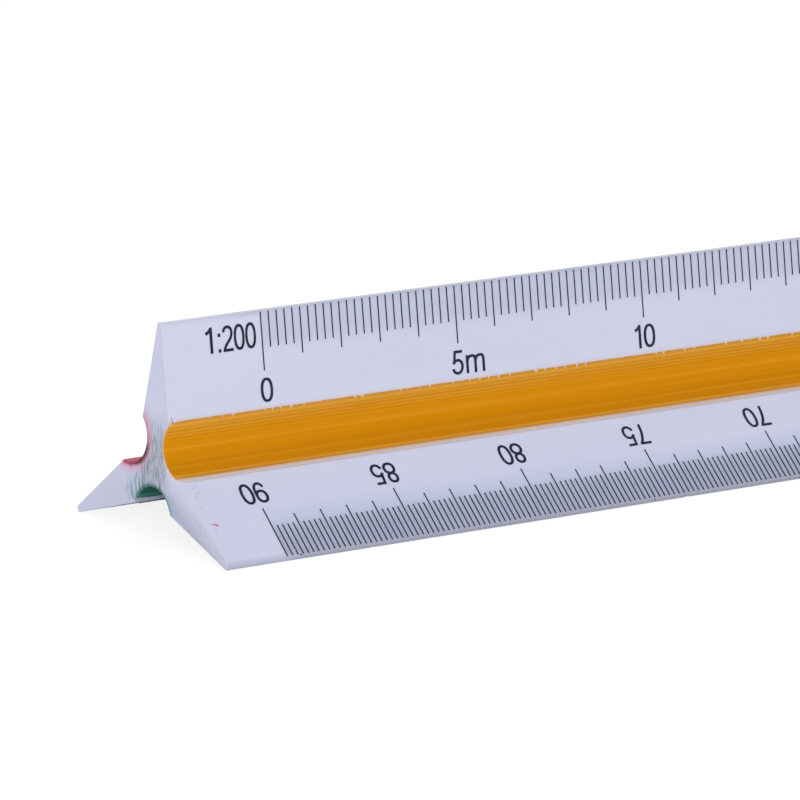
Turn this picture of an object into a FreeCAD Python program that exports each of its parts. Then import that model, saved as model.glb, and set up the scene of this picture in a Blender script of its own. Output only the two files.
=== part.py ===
# Triangular scale ruler: a three-armed plastic bar with a coloured groove in
# each of its three sides and a printed drawing scale on each of its six
# bevelled faces.
#
# Frame: X along the ruler, Z up, the front (yellow) side towards -Y. One arm
# stands up, the other two point down and outwards, and the ruler rests on
# their edges. Origin: centre of the bounding box, at the bottom. Millimetres.
import FreeCAD, Part
import math
import os

os.makedirs("parts", exist_ok=True)
Vec = FreeCAD.Vector

# ------------------------------------------------------------ dimensions (mm)
LENGTH = 319.8            # overall length, sawn end to sawn end
SCALE_LENGTH = 300.0      # length of every printed scale
ZERO_MARGIN = 12.35       # a scale's own left end to its zero tick
TIP_RADIUS = 15.0         # ruler axis to the flat land on an arm's tip
LAND_HALF_WIDTH = 0.32    # half the width of that land, before the corners are eased
LAND_CORNER_R = 0.14      # easing between land and bevelled face
BEVEL_ANGLE = 10.9        # bevelled face to the arm's middle plane, degrees
GROOVE_CENTRE = 5.2       # ruler axis to the centre of a groove's circle
GROOVE_R = 3.1            # radius of a colour groove
GROOVE_LIP_R = 0.30       # easing between bevelled face and groove
ARC_STEP = 10.0           # longest arc in the section, degrees

COAT_T = 0.10             # thickness of a colour coat
COAT_OVERLAP = 0.25       # coat carried past one lip on to the bevelled face
# coat stopping short of each groove's other lip
COAT_SHORT = {"front": 1.24, "back": 1.24, "underside": 0.56}
COAT_END_GAP = 0.06       # bare plastic between the coat and each sawn end

INK_T = 0.05              # thickness of the printed ink
TICK_W = 0.12             # width of a tick
TICK_START = 0.12         # tick's outer end, measured in from the bevel's sharp corner
TICK_START_UNDER = 0.28   # the same on the underside, to keep the ink off the table
NUMERAL_H = 2.5           # height of the numerals
NUMERAL_PITCH = 0.66      # advance from numeral to numeral, of their height
RATIO_H = 2.66            # height of the ratio, such as 1:200
RATIO_TOP = 1.06
RATIO_RIGHT_GAP = 0.75    # ratio's right end to the zero tick
RATIO_SQUEEZE = 0.81      # the ratio's figures are narrower

# Each printed scale: side, arm, then in metres at full size: the small
# division, and small divisions in a middle one and in a long one. Then in
# millimetres from the bevel's sharp corner: the inner ends of the small, middle
# and long ticks, the top of the numerals, and how far to the right of their
# ticks the first numeral and the other numerals stand.
SCALES = [
    # node, side, on its +q arm, ratio, small_m, per_mid, per_long, (mm)
    ("scale_1_200_print", "front", True, 200, 0.2, 5, 25, (3.80, 4.86, 6.14, 6.88, 0.13, -0.20)),
    ("scale_1_300_print", "front", False, 300, 0.2, 5, 25, (3.86, 4.96, 6.06, 6.70, 0.11, 0.11)),
    ("scale_1_100_print", "back", False, 100, 0.1, 5, 10, (3.83, 4.91, 6.10, 6.79, 0.0, 0.0)),
    ("scale_1_250_print", "back", True, 250, 0.2, 5, 25, (3.83, 4.91, 6.10, 6.79, 0.0, 0.0)),
    ("scale_1_400_print", "underside", True, 400, 0.5, 10, 20, (3.83, 4.91, 6.10, 6.79, 0.0, 0.0)),
    ("scale_1_500_print", "underside", False, 500, 0.5, 10, 20, (3.83, 4.91, 6.10, 6.79, 0.0, 0.0)),
]
# direction, seen from the -X end with -Y to the right, of each side's groove
SIDE_ANGLE = {"front": 30.0, "back": 150.0, "underside": 270.0}
COATS = [("yellow_groove_coat", "front"), ("red_groove_coat", "back"),
         ("green_groove_coat", "underside")]

# Plain upright numerals, drawn for this part: closed outlines in units of the
# numeral's height, the first one the outside and the rest holes (the colon is
# two outsides).
GLYPHS = {
    "0": [[(0.348, 0.002), (0.413, 0.018), (0.492, 0.073), (0.534, 0.128), (0.568, 0.197), (0.592, 0.279), (0.607, 0.376), (0.612, 0.5), (0.607, 0.624), (0.592, 0.721), (0.568, 0.803), (0.534, 0.872), (0.492, 0.927), (0.441, 0.967), (0.382, 0.992), (0.264, 0.998), (0.199, 0.982), (0.12, 0.927), (0.078, 0.872), (0.044, 0.803), (0.02, 0.721), (0.005, 0.624), (0, 0.5), (0.005, 0.376), (0.02, 0.279), (0.044, 0.197), (0.078, 0.128), (0.12, 0.073), (0.171, 0.033), (0.23, 0.008)], [(0.283, 0.11), (0.246, 0.123), (0.212, 0.15), (0.183, 0.19), (0.159, 0.241), (0.127, 0.373), (0.121, 0.547), (0.14, 0.698), (0.183, 0.81), (0.212, 0.85), (0.246, 0.877), (0.283, 0.89), (0.329, 0.89), (0.366, 0.877), (0.4, 0.85), (0.429, 0.81), (0.453, 0.759), (0.485, 0.627), (0.491, 0.453), (0.472, 0.302), (0.429, 0.19), (0.4, 0.15), (0.366, 0.123), (0.329, 0.11)]],
    "1": [[(0.375, 1), (0.255, 1), (0.255, 0.966), (0.219, 0.921), (0.167, 0.877), (0.049, 0.815), (0.091, 0.709), (0.168, 0.745), (0.255, 0.804), (0.255, 0), (0.375, 0)]],
    "2": [[(0.598, 0.108), (0.168, 0.108), (0.232, 0.201), (0.446, 0.401), (0.512, 0.474), (0.567, 0.563), (0.586, 0.614), (0.6, 0.721), (0.594, 0.776), (0.577, 0.831), (0.549, 0.881), (0.511, 0.924), (0.465, 0.958), (0.414, 0.982), (0.36, 0.995), (0.253, 0.997), (0.199, 0.985), (0.148, 0.963), (0.101, 0.93), (0.061, 0.889), (0.031, 0.84), (0.007, 0.758), (0.126, 0.743), (0.146, 0.806), (0.189, 0.857), (0.218, 0.874), (0.287, 0.891), (0.359, 0.884), (0.392, 0.872), (0.443, 0.829), (0.461, 0.801), (0.479, 0.736), (0.479, 0.701), (0.465, 0.628), (0.451, 0.594), (0.408, 0.528), (0.148, 0.279), (0.085, 0.2), (0.04, 0.108), (0.021, 0.108), (0.021, 0), (0.598, 0)]],
    "3": [[(0.373, 0.009), (0.453, 0.041), (0.521, 0.096), (0.548, 0.132), (0.582, 0.214), (0.588, 0.257), (0.583, 0.343), (0.55, 0.425), (0.492, 0.492), (0.45, 0.52), (0.503, 0.575), (0.524, 0.609), (0.55, 0.682), (0.554, 0.758), (0.539, 0.833), (0.501, 0.902), (0.474, 0.931), (0.408, 0.975), (0.372, 0.989), (0.296, 1), (0.222, 0.992), (0.149, 0.963), (0.088, 0.913), (0.065, 0.881), (0.034, 0.809), (0.15, 0.78), (0.165, 0.821), (0.191, 0.855), (0.227, 0.879), (0.27, 0.891), (0.318, 0.89), (0.36, 0.876), (0.394, 0.85), (0.418, 0.814), (0.432, 0.773), (0.435, 0.726), (0.427, 0.682), (0.409, 0.643), (0.38, 0.611), (0.309, 0.58), (0.205, 0.58), (0.205, 0.476), (0.309, 0.476), (0.308, 0.452), (0.362, 0.441), (0.408, 0.415), (0.442, 0.377), (0.463, 0.331), (0.469, 0.279), (0.462, 0.227), (0.441, 0.181), (0.406, 0.144), (0.36, 0.119), (0.305, 0.108), (0.249, 0.112), (0.198, 0.131), (0.157, 0.163), (0.13, 0.205), (0.118, 0.241), (0.001, 0.217), (0.034, 0.135), (0.06, 0.099), (0.128, 0.043), (0.167, 0.023), (0.249, 0.002), (0.29, 0)]],
    "4": [[(0.492, 0.232), (0.602, 0.232), (0.602, 0.34), (0.492, 0.34), (0.492, 1), (0.375, 1), (0.375, 0.969), (0.201, 0.626), (0.036, 0.34), (0.01, 0.34), (0.01, 0.232), (0.375, 0.232), (0.375, 0), (0.492, 0)], [(0.299, 0.574), (0.375, 0.723), (0.375, 0.34), (0.164, 0.34)]],
    "5": [[(0.354, 0.005), (0.438, 0.036), (0.476, 0.061), (0.538, 0.126), (0.561, 0.164), (0.591, 0.245), (0.6, 0.371), (0.585, 0.456), (0.544, 0.537), (0.479, 0.601), (0.439, 0.624), (0.353, 0.649), (0.267, 0.65), (0.199, 0.636), (0.23, 0.892), (0.565, 0.892), (0.565, 1), (0.125, 1), (0.125, 0.939), (0.077, 0.557), (0.022, 0.481), (0.128, 0.429), (0.14, 0.452), (0.172, 0.447), (0.18, 0.499), (0.224, 0.528), (0.308, 0.544), (0.365, 0.535), (0.412, 0.511), (0.461, 0.447), (0.477, 0.393), (0.481, 0.332), (0.474, 0.272), (0.455, 0.216), (0.424, 0.168), (0.383, 0.132), (0.331, 0.111), (0.303, 0.107), (0.247, 0.113), (0.174, 0.152), (0.141, 0.195), (0.122, 0.255), (0.002, 0.245), (0.019, 0.175), (0.041, 0.134), (0.101, 0.066), (0.138, 0.04), (0.221, 0.007), (0.264, 0)]],
    "6": [[(0.346, 0.001), (0.406, 0.013), (0.459, 0.035), (0.506, 0.068), (0.545, 0.11), (0.575, 0.16), (0.596, 0.217), (0.607, 0.281), (0.607, 0.355), (0.596, 0.419), (0.575, 0.476), (0.545, 0.526), (0.506, 0.568), (0.459, 0.601), (0.406, 0.623), (0.346, 0.635), (0.278, 0.635), (0.218, 0.623), (0.142, 0.587), (0.156, 0.693), (0.19, 0.789), (0.217, 0.83), (0.252, 0.862), (0.291, 0.884), (0.334, 0.891), (0.377, 0.884), (0.414, 0.863), (0.444, 0.83), (0.464, 0.791), (0.472, 0.75), (0.592, 0.754), (0.582, 0.813), (0.568, 0.85), (0.525, 0.914), (0.465, 0.964), (0.429, 0.981), (0.353, 0.999), (0.275, 0.992), (0.238, 0.981), (0.172, 0.943), (0.098, 0.862), (0.065, 0.799), (0.043, 0.734), (0.023, 0.606), (0.015, 0.482), (0.017, 0.281), (0.028, 0.217), (0.049, 0.16), (0.079, 0.11), (0.118, 0.068), (0.165, 0.035), (0.218, 0.013), (0.278, 0.001)], [(0.258, 0.117), (0.226, 0.132), (0.174, 0.182), (0.156, 0.215), (0.137, 0.295), (0.143, 0.383), (0.174, 0.454), (0.226, 0.504), (0.258, 0.519), (0.331, 0.527), (0.366, 0.519), (0.426, 0.482), (0.45, 0.454), (0.481, 0.383), (0.487, 0.295), (0.468, 0.215), (0.426, 0.154), (0.366, 0.117), (0.331, 0.109)]],
    "7": [[(0.297, 0.166), (0.321, 0.33), (0.36, 0.489), (0.418, 0.642), (0.496, 0.786), (0.571, 0.892), (0.592, 0.892), (0.592, 1), (0.03, 1), (0.03, 0.892), (0.427, 0.892), (0.341, 0.752), (0.302, 0.671), (0.24, 0.503), (0.218, 0.417), (0.185, 0.244), (0.165, 0), (0.285, 0)]],
    "8": [[(0.341, 0.001), (0.401, 0.011), (0.455, 0.031), (0.502, 0.06), (0.542, 0.098), (0.573, 0.142), (0.594, 0.193), (0.605, 0.25), (0.605, 0.316), (0.594, 0.373), (0.573, 0.424), (0.542, 0.468), (0.472, 0.526), (0.527, 0.585), (0.549, 0.629), (0.563, 0.679), (0.568, 0.737), (0.563, 0.794), (0.549, 0.845), (0.527, 0.889), (0.496, 0.927), (0.458, 0.959), (0.413, 0.981), (0.363, 0.995), (0.306, 1), (0.249, 0.995), (0.199, 0.981), (0.154, 0.959), (0.116, 0.927), (0.085, 0.889), (0.063, 0.845), (0.049, 0.794), (0.044, 0.737), (0.049, 0.679), (0.063, 0.629), (0.085, 0.585), (0.14, 0.526), (0.07, 0.468), (0.039, 0.424), (0.018, 0.373), (0.007, 0.316), (0.007, 0.25), (0.018, 0.193), (0.039, 0.142), (0.07, 0.098), (0.11, 0.06), (0.157, 0.031), (0.211, 0.011), (0.271, 0.001)], [(0.262, 0.588), (0.237, 0.6), (0.195, 0.636), (0.18, 0.661), (0.165, 0.72), (0.17, 0.785), (0.195, 0.838), (0.237, 0.875), (0.262, 0.886), (0.322, 0.891), (0.35, 0.886), (0.398, 0.858), (0.417, 0.838), (0.442, 0.785), (0.447, 0.72), (0.432, 0.661), (0.398, 0.616), (0.35, 0.588), (0.322, 0.583)], [(0.251, 0.115), (0.189, 0.146), (0.146, 0.198), (0.133, 0.229), (0.127, 0.302), (0.133, 0.337), (0.165, 0.397), (0.189, 0.42), (0.251, 0.451), (0.326, 0.457), (0.394, 0.438), (0.447, 0.397), (0.479, 0.337), (0.485, 0.264), (0.479, 0.229), (0.447, 0.17), (0.423, 0.146), (0.361, 0.115), (0.326, 0.109)]],
    "9": [[(0.317, 0.004), (0.391, 0.027), (0.424, 0.046), (0.481, 0.095), (0.524, 0.153), (0.554, 0.217), (0.572, 0.282), (0.59, 0.409), (0.597, 0.533), (0.595, 0.719), (0.584, 0.783), (0.563, 0.84), (0.533, 0.89), (0.494, 0.932), (0.447, 0.965), (0.394, 0.987), (0.334, 0.999), (0.266, 0.999), (0.206, 0.987), (0.153, 0.965), (0.106, 0.932), (0.067, 0.89), (0.037, 0.84), (0.016, 0.783), (0.005, 0.719), (0.005, 0.645), (0.016, 0.581), (0.037, 0.524), (0.067, 0.474), (0.106, 0.432), (0.153, 0.399), (0.206, 0.377), (0.266, 0.365), (0.334, 0.365), (0.394, 0.377), (0.47, 0.413), (0.456, 0.307), (0.422, 0.211), (0.395, 0.171), (0.36, 0.138), (0.321, 0.116), (0.278, 0.109), (0.235, 0.116), (0.198, 0.137), (0.168, 0.17), (0.148, 0.209), (0.14, 0.25), (0.02, 0.246), (0.03, 0.187), (0.044, 0.15), (0.087, 0.086), (0.147, 0.036), (0.182, 0.019), (0.259, 0.001)], [(0.246, 0.481), (0.214, 0.496), (0.162, 0.546), (0.144, 0.579), (0.125, 0.659), (0.131, 0.747), (0.162, 0.818), (0.214, 0.868), (0.246, 0.883), (0.319, 0.891), (0.354, 0.883), (0.414, 0.846), (0.438, 0.818), (0.469, 0.747), (0.475, 0.659), (0.456, 0.579), (0.414, 0.518), (0.354, 0.481), (0.319, 0.473)]],
    "m": [[(0.12, 0.45), (0.13, 0.506), (0.152, 0.566), (0.183, 0.614), (0.22, 0.642), (0.305, 0.658), (0.369, 0.653), (0.403, 0.637), (0.419, 0.601), (0.429, 0.537), (0.428, 0), (0.548, 0), (0.549, 0.461), (0.562, 0.522), (0.587, 0.579), (0.62, 0.623), (0.659, 0.647), (0.751, 0.658), (0.81, 0.65), (0.827, 0.641), (0.843, 0.613), (0.855, 0.554), (0.856, 0), (0.976, 0), (0.977, 0.522), (0.967, 0.613), (0.953, 0.658), (0.927, 0.701), (0.887, 0.735), (0.842, 0.754), (0.796, 0.763), (0.71, 0.765), (0.625, 0.751), (0.583, 0.734), (0.515, 0.678), (0.499, 0.701), (0.459, 0.735), (0.413, 0.754), (0.368, 0.763), (0.282, 0.765), (0.197, 0.751), (0.12, 0.71), (0.12, 0.753), (0, 0.753), (0, 0), (0.12, 0)]],
    ":": [[(0.128, 0.728), (0, 0.728), (0, 0.6), (0.128, 0.6)], [(0.128, 0.128), (0, 0.128), (0, 0), (0.128, 0)]],}
GLYPH_SHIFT = {"1": 0.15, ":": 0.0}    # moves a narrow figure within its pitch
GLYPH_SIDE = 0.024                     # side gap of the others


# ------------------------------------------------------------------- section
def add(a, b, k=1.0):
    return (a[0] + k * b[0], a[1] + k * b[1])


def dot(a, b):
    return a[0] * b[0] + a[1] * b[1]


def ang(v):
    return math.atan2(v[1], v[0])


BEVEL = math.radians(BEVEL_ANGLE)


def half_side(sign):
    """One half of a side in the side's own axes: p out along the groove's
    middle, q across it. sign +1 is the half towards the +q arm."""
    e = (0.5, sign * math.sqrt(3.0) / 2.0)            # out along the arm
    n = (math.sqrt(3.0) / 2.0, -sign * 0.5)           # from the arm towards the groove
    o = add((math.cos(BEVEL) * n[0], math.cos(BEVEL) * n[1]), e, math.sin(BEVEL))   # bevel's normal
    b = add((-math.cos(BEVEL) * e[0], -math.cos(BEVEL) * e[1]), n, math.sin(BEVEL))  # bevel, tip to groove
    corner = add((TIP_RADIUS * e[0], TIP_RADIUS * e[1]), n, LAND_HALF_WIDTH)
    x = LAND_HALF_WIDTH + LAND_CORNER_R * (math.sin(BEVEL) - 1.0) / math.cos(BEVEL)
    tip_c = add(((TIP_RADIUS - LAND_CORNER_R) * e[0], (TIP_RADIUS - LAND_CORNER_R) * e[1]), n, x)
    g = (GROOVE_CENTRE, 0.0)
    q = add(add(corner, o, -GROOVE_LIP_R), g, -1.0)
    qb = dot(q, b)
    t = -qb - math.sqrt(qb * qb - dot(q, q) + (GROOVE_R + GROOVE_LIP_R) ** 2)
    lip_c = add(add(corner, o, -GROOVE_LIP_R), b, t)
    return {"e": e, "n": n, "o": o, "b": b, "corner": corner, "tip_c": tip_c, "lip_c": lip_c, "lip_t": t}


def arc_pts(c, r, a0, a1):
    """Arc from angle a0 to a1 the short way, as a list of
    (start, middle, end) pieces no longer than ARC_STEP."""
    d = (a1 - a0 + math.pi) % (2.0 * math.pi) - math.pi
    k = max(1, int(math.ceil(abs(math.degrees(d)) / ARC_STEP)))
    at = lambda f: (c[0] + r * math.cos(a0 + d * f), c[1] + r * math.sin(a0 + d * f))
    return [(at(i / k), at((i + 0.5) / k), at((i + 1.0) / k)) for i in range(k)]


def side_path(offset=0.0, over=None, short=None):
    """The section's edge along one side, from the +q arm to the -q arm, as
    arcs (start, middle, end) and lines (start, end). offset moves it out of
    the plastic. over starts it that far before the first lip, and short ends
    it that far before the last one, for a coat."""
    A, B = half_side(+1), half_side(-1)
    g = (GROOVE_CENTRE, 0.0)
    out = []
    lip_r = GROOVE_LIP_R + offset
    gr = GROOVE_R - offset
    toG_A, toG_B = add(g, A["lip_c"], -1.0), add(g, B["lip_c"], -1.0)
    if over is None:
        out += arc_pts(A["tip_c"], LAND_CORNER_R, ang(A["e"]), ang(A["o"]))
        start = add(A["tip_c"], A["o"], LAND_CORNER_R)
    else:
        start = add(add(A["lip_c"], A["o"], lip_r), A["b"], -over)
    out.append((start, add(A["lip_c"], A["o"], lip_r)))
    out += arc_pts(A["lip_c"], lip_r, ang(A["o"]), ang(toG_A))
    a0 = ang((-toG_A[0], -toG_A[1]))
    a1 = ang((-toG_B[0], -toG_B[1]))
    # the groove runs from one lip to the other past its floor, at angle pi
    span = 2.0 * (math.pi - a0)
    if short is not None:
        span -= short / GROOVE_R
    k = 14
    at = lambda f: (g[0] + gr * math.cos(a0 + span * f), g[1] + gr * math.sin(a0 + span * f))
    out += [(at(i / k), at((i + 0.5) / k), at((i + 1.0) / k)) for i in range(k)]
    if short is None:
        out += arc_pts(B["lip_c"], lip_r, ang(toG_B), ang(B["o"]))
        out.append((add(B["lip_c"], B["o"], lip_r), add(B["tip_c"], B["o"], LAND_CORNER_R)))
        out += arc_pts(B["tip_c"], LAND_CORNER_R, ang(B["o"]), ang(B["e"]))
    return out


# height of the ruler's axis over the two edges that it rests on
_arm = half_side(+1)
_tip_along = dot(_arm["tip_c"], _arm["e"])
_tip_across = dot(_arm["tip_c"], _arm["n"])
AXIS_HEIGHT = 0.5 * _tip_along + math.sqrt(3.0) / 2.0 * _tip_across + LAND_CORNER_R


def turn(p, degrees):
    a = math.radians(degrees)
    return (p[0] * math.cos(a) - p[1] * math.sin(a), p[0] * math.sin(a) + p[1] * math.cos(a))


def to3(p, degrees, x):
    """A point in a side's axes, at station x, in the ruler's frame."""
    u, v = turn(p, degrees)
    return Vec(x, -u, v + AXIS_HEIGHT)


def dir3(p, degrees):
    u, v = turn(p, degrees)
    return Vec(0.0, -u, v)


def edges_of(path, degrees, x):
    es = []
    for piece in path:
        pts = [to3(p, degrees, x) for p in piece]
        if len(pts) == 2:
            es.append(Part.LineSegment(pts[0], pts[1]).toShape())
        else:
            es.append(Part.Arc(pts[0], pts[1], pts[2]).toShape())
    return es


def line3(a, b):
    return Part.LineSegment(a, b).toShape()


# ---------------------------------------------------------------------- body
def make_body():
    x0 = -LENGTH / 2.0
    path = side_path()
    order = ["front", "underside", "back"]            # clockwise from the upright arm
    edges = []
    for i, name in enumerate(order):
        a = SIDE_ANGLE[name]
        edges += edges_of(path, a, x0)
        nxt = SIDE_ANGLE[order[(i + 1) % 3]]
        edges.append(line3(to3(path[-1][-1], a, x0), to3(path[0][0], nxt, x0)))   # land
    face = Part.Face(Part.Wire(Part.__sortEdges__(edges)))
    return face.extrude(Vec(LENGTH, 0.0, 0.0))


# --------------------------------------------------------------------- coats
def make_coat(side):
    a = SIDE_ANGLE[side]
    x0 = -LENGTH / 2.0 + COAT_END_GAP
    inner = side_path(0.0, COAT_OVERLAP, COAT_SHORT[side])
    outer = side_path(COAT_T, COAT_OVERLAP, COAT_SHORT[side])
    edges = edges_of(inner, a, x0) + edges_of(outer, a, x0)
    edges.append(line3(to3(inner[0][0], a, x0), to3(outer[0][0], a, x0)))
    edges.append(line3(to3(inner[-1][-1], a, x0), to3(outer[-1][-1], a, x0)))
    face = Part.Face(Part.Wire(Part.__sortEdges__(edges)))
    return face.extrude(Vec(LENGTH - 2.0 * COAT_END_GAP, 0.0, 0.0))


# -------------------------------------------------------------------- prints
def bevel_matrix(side, plus_arm):
    """Matrix from a print's flat axes (x to the right, y up towards the
    arm's edge, z out of the face; zero tick at x = 0, bevel's sharp corner
    at y = 0) to the ruler's frame."""
    h = half_side(+1 if plus_arm else -1)
    a = SIDE_ANGLE[side]
    up = dir3((-h["b"][0], -h["b"][1]), a)
    nrm = dir3(h["o"], a)
    right = up.cross(nrm)
    zero_x = (-LENGTH / 2.0 + ZERO_MARGIN) * (1.0 if right.x > 0 else -1.0)
    o = to3(h["corner"], a, zero_x)
    return FreeCAD.Matrix(right.x, up.x, nrm.x, o.x,
                          right.y, up.y, nrm.y, o.y,
                          right.z, up.z, nrm.z, o.z,
                          0.0, 0.0, 0.0, 1.0)


def glyph(ch, height, squeeze=1.0):
    """One figure, standing on y = 0 with its cell's left side at x = 0."""
    wires = []
    for outline in GLYPHS[ch]:
        pts = [Vec(p[0] * height * squeeze, p[1] * height, 0.0) for p in outline]
        wires.append(Part.makePolygon(pts + [pts[0]]))
    if ch == ":":
        return [Part.Face(w).extrude(Vec(0, 0, INK_T)) for w in wires]
    face = Part.Face(wires[0])
    if len(wires) > 1:
        face = face.cut(Part.makeCompound([Part.Face(w) for w in wires[1:]])).Faces[0]
    return [face.extrude(Vec(0, 0, INK_T))]


_cache = {}


def placed(ch, height, squeeze, x, y):
    key = (ch, height, squeeze)
    if key not in _cache:
        _cache[key] = glyph(ch, height, squeeze)
    m = FreeCAD.Matrix()
    m.move(Vec(x, y, 0.0))
    return [s.transformed(m, True) for s in _cache[key]]


def label(text, x_mid, top):
    """A numeral centred on its tick. A unit letter after it hangs on to its right."""
    digits = text.rstrip("m")
    cell = NUMERAL_PITCH * NUMERAL_H
    x = x_mid - 0.5 * cell * len(digits)
    y = -top - NUMERAL_H
    out = []
    for ch in digits:
        out += placed(ch, NUMERAL_H, 1.0, x + GLYPH_SHIFT.get(ch, GLYPH_SIDE) * NUMERAL_H, y)
        x += cell
    if text.endswith("m"):
        out += placed("m", NUMERAL_H, 1.0, x + 0.11 * NUMERAL_H, y)
    return out


def ratio_label(ratio):
    """1:ratio, its right end a little left of the zero tick."""
    h = RATIO_H
    y = -RATIO_TOP - h
    pitch = 0.541 * h
    right = -RATIO_RIGHT_GAP
    out = []
    digits = str(ratio)
    x = right - 0.495 * h - pitch * (len(digits) - 1)
    colon = x - 0.212 * h
    out += placed("1", h, 1.0, x - 0.848 * h, y)
    out += placed(":", h, 0.9, colon, y)
    for ch in digits:
        out += placed(ch, h, RATIO_SQUEEZE, x, y)
        x += pitch
    return out


def make_print(side, plus_arm, ratio, small_m, per_mid, per_long, ends):
    step = small_m * 1000.0 / ratio
    count = int(round(SCALE_LENGTH / step))
    start = TICK_START_UNDER if side == "underside" else TICK_START
    solids = ratio_label(ratio)
    for i in range(count + 1):
        x = i * step
        end = ends[2] if i % per_long == 0 else ends[1] if i % per_mid == 0 else ends[0]
        solids.append(Part.makeBox(TICK_W, end - start, INK_T, Vec(x - TICK_W / 2.0, -end, 0.0)))
        if i % per_long == 0:
            value = int(round(i * small_m))
            solids += label(str(value) + ("m" if i == per_long else ""), x + ends[5 if i else 4], ends[3])
    m = bevel_matrix(side, plus_arm)
    return Part.makeCompound([s.transformed(m, True) for s in solids])


# -------------------------------------------------------------------- output
def save(name, shape):
    bad = [s for s in shape.Solids if not s.isValid() or s.Volume <= 0.0]
    shape.exportStep("parts/%s.step" % name)
    bb = shape.BoundBox
    print("%-22s solids %4d bad %d volume %10.3f mm3  x %.2f..%.2f  y %.3f..%.3f  z %.3f..%.3f" % (
        name, len(shape.Solids), len(bad), shape.Volume, bb.XMin, bb.XMax, bb.YMin, bb.YMax, bb.ZMin, bb.ZMax))


print("axis height %.4f mm, bevelled face %.3f mm wide" % (AXIS_HEIGHT, _arm["lip_t"]))
save("ruler_body", make_body())
for node, side in COATS:
    save(node, make_coat(side))
for node, side, plus_arm, ratio, small_m, per_mid, per_long, ends in SCALES:
    save(node, make_print(side, plus_arm, ratio, small_m, per_mid, per_long, ends))
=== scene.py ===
import math
import random
import bpy
import bmesh
import numpy as np
from mathutils import Matrix, Vector


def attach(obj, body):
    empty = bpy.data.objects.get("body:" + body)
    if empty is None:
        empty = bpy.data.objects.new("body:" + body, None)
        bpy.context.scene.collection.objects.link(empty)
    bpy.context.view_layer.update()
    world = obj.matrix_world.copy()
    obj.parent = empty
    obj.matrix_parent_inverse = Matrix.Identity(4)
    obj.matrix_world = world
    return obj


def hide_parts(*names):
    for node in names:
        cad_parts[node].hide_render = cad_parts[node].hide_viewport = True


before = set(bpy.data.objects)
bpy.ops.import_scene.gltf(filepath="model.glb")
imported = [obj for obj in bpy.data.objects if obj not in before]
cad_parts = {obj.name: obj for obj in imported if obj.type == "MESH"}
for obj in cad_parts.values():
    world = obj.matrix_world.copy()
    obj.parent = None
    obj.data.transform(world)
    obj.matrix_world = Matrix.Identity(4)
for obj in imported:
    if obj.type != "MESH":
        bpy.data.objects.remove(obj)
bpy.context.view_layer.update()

MM = 0.001

# ------------------------------------------------------------- the section
# The same section as the CAD body, in millimetres, with the fine detail added.
LENGTH = 319.8
TIP_RADIUS = 15.0
LAND_HALF_WIDTH = 0.32
LAND_CORNER_R = 0.14
BEVEL = math.radians(10.9)
GROOVE_CENTRE = 5.2
GROOVE_R = 3.1
GROOVE_LIP_R = 0.30
SIDES = {"front": 30.0, "underside": 270.0, "back": 150.0}     # clockwise from the upright arm


def half_side(sign):
    e = np.array((0.5, sign * math.sqrt(3.0) / 2.0))
    n = np.array((math.sqrt(3.0) / 2.0, -sign * 0.5))
    o = math.cos(BEVEL) * n + math.sin(BEVEL) * e
    b = -math.cos(BEVEL) * e + math.sin(BEVEL) * n
    corner = TIP_RADIUS * e + LAND_HALF_WIDTH * n
    x = LAND_HALF_WIDTH + LAND_CORNER_R * (math.sin(BEVEL) - 1.0) / math.cos(BEVEL)
    tip_c = (TIP_RADIUS - LAND_CORNER_R) * e + x * n
    g = np.array((GROOVE_CENTRE, 0.0))
    q = corner - GROOVE_LIP_R * o - g
    t = -q @ b - math.sqrt((q @ b) ** 2 - q @ q + (GROOVE_R + GROOVE_LIP_R) ** 2)
    lip_c = corner - GROOVE_LIP_R * o + t * b
    return {"e": e, "n": n, "o": o, "b": b, "corner": corner, "tip_c": tip_c, "lip_c": lip_c, "t": t, "g": g}


HA, HB = half_side(+1), half_side(-1)
AXIS_HEIGHT = 0.5 * (HA["tip_c"] @ HA["e"]) + math.sqrt(3.0) / 2.0 * (HA["tip_c"] @ HA["n"]) + LAND_CORNER_R


def ang(v):
    return math.atan2(v[1], v[0])


def turn(p, degrees):
    a = math.radians(degrees)
    return np.array((p[0] * math.cos(a) - p[1] * math.sin(a), p[0] * math.sin(a) + p[1] * math.cos(a)))


def yz(p, degrees):
    """A point in a side's axes, as (y, z) in the row frame, in millimetres."""
    u, v = turn(p, degrees)
    return (-u, v + AXIS_HEIGHT)


def arc(c, r, a0, a1, n):
    d = (a1 - a0 + math.pi) % (2 * math.pi) - math.pi
    return [c + r * np.array((math.cos(a0 + d * k / n), math.sin(a0 + d * k / n))) for k in range(n + 1)]


GROOVE_A0 = ang(HA["lip_c"] - HA["g"])                  # groove's first angle, towards the +q arm
GROOVE_SPAN = 2.0 * (math.pi - GROOVE_A0)
LIP_ARC = GROOVE_LIP_R * abs((ang(HA["g"] - HA["lip_c"]) - ang(HA["o"]) + math.pi) % (2 * math.pi) - math.pi)
GROOVE_ARC = GROOVE_R * GROOVE_SPAN
T_LIP = HA["t"]                                          # bevel width, corner to lip

# fine lengthwise ridges that the die leaves in the groove: arc length from the
# groove's start, height and half width
RIDGES = [(0.53, 0.026, 0.13), (1.03, 0.024, 0.11), (1.43, 0.022, 0.10), (1.86, 0.019, 0.09),
          (2.30, 0.012, 0.09), (2.79, 0.022, 0.10), (3.40, 0.007, 0.08), (3.95, 0.008, 0.10),
          (4.80, 0.018, 0.12), (5.20, 0.009, 0.08), (5.53, 0.013, 0.10), (6.03, 0.018, 0.10),
          (6.60, 0.010, 0.09), (7.10, 0.012, 0.10)]


def ridge(s):
    """Height of the drawn ridges at arc length s from the groove's start."""
    return sum(h * math.exp(-((s - c) / w) ** 2) for c, h, w in RIDGES)


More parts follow.
